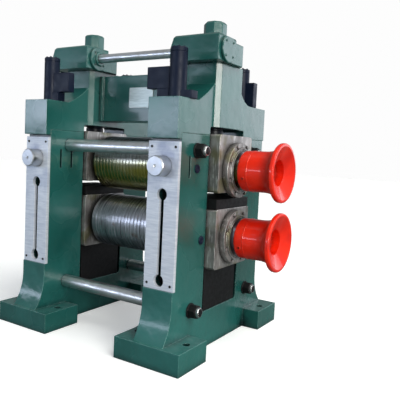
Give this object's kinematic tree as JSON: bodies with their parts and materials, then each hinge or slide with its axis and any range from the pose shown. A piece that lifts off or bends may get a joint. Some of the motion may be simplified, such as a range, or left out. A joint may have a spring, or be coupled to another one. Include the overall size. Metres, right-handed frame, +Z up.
{
  "type": "rolling mill stand",
  "caption": "Two-high rolling mill stand: cast housings with caps, grooved work rolls in sliding chocks, worm screwdown, clamp cylinders, tie rods and red drive couplings.",
  "frame": {"origin": "on the floor, midway between the two housings and midway between their front and rear feet; centre of the foundation bolt pattern", "axes": "+X along the rolls towards the drive side and its couplings, +Y along the pass line from the entry (slotted front) side, +Z up"},
  "size_m": [1.695, 1.204, 1.941],
  "materials": {
    "green_casting": "gloss enamel on cast steel, teal green",
    "machined_liner": "milled bright steel with faint stains",
    "polished_steel": "polished",
    "screw_steel": "dark oiled steel",
    "cylinder_black": "blue-black enamel",
    "chock_steel": "bare machined cast steel with grease",
    "roll_steel": "turned roll steel with rings",
    "red_paint": "gloss orange-red enamel",
    "chrome_rod": "hard chrome",
    "black_nut": "blackened steel",
    "plate_aluminium": "plain matt plate"
  },
  "bodies": {
    "frame": {"chock_separators": "black_nut", "clamp_feet": "cylinder_black", "cross_beam": "green_casting", "drive_cap": "green_casting", "drive_clamp_columns": "cylinder_black", "drive_front_liner": "machined_liner", "drive_gearbox": "green_casting", "drive_housing": "green_casting", "drive_locking_pins": "polished_steel", "drive_lower_bearing_cover": "chock_steel", "drive_lower_chock": "chock_steel", "drive_rear_liner": "machined_liner", "drive_screw_boss": "green_casting", "drive_worm_covers": "green_casting", "front_lower_tie_rod": "chrome_rod", "front_upper_tie_rod": "chrome_rod", "nameplate": "plate_aluminium", "operator_cap": "green_casting", "operator_clamp_columns": "cylinder_black", "operator_front_liner": "machined_liner", "operator_gearbox": "green_casting", "operator_housing": "green_casting", "operator_locking_pins": "polished_steel", "operator_lower_bearing_cover": "chock_steel", "operator_lower_chock": "chock_steel", "operator_rear_liner": "machined_liner", "operator_screw_boss": "green_casting", "operator_worm_covers": "green_casting", "rear_lower_tie_rod": "chrome_rod", "rear_upper_tie_rod": "chrome_rod", "tie_rod_nuts": "black_nut", "valve_blocks": "cylinder_black", "window_spacers": "black_nut"},
    "upper_carriage": {"drive_upper_chock": "chock_steel", "drive_upper_bearing_cover": "chock_steel", "drive_pressure_screw": "screw_steel", "operator_upper_chock": "chock_steel", "operator_upper_bearing_cover": "chock_steel", "operator_pressure_screw": "screw_steel"},
    "upper_roll_set": {"upper_roll": "roll_steel", "upper_coupling": "red_paint"},
    "lower_roll_set": {"lower_roll": "roll_steel", "lower_coupling": "red_paint"},
    "worm_line": {"worm_shaft": "chrome_rod"}
  },
  "joints": [
    {"name": "screwdown", "type": "slide", "parent": "frame", "child": "upper_carriage", "axis": [0, 0, 1], "range_m": [-0.03, 0.03]},
    {"name": "upper_roll_turn", "type": "hinge", "parent": "upper_carriage", "child": "upper_roll_set", "pos_m": [0, 0, 1.06], "axis": [1, 0, 0], "continuous": true},
    {"name": "lower_roll_turn", "type": "hinge", "parent": "frame", "child": "lower_roll_set", "pos_m": [0, 0, 0.66], "axis": [1, 0, 0], "continuous": true},
    {"name": "worm_shaft_turn", "type": "hinge", "parent": "frame", "child": "worm_line", "pos_m": [0, -0.157, 1.746], "axis": [1, 0, 0], "continuous": true}
  ],
  "couplings": [
    {"joint": "worm_shaft_turn", "follows": "screwdown", "rad_per_m": -2094.4}
  ]
}
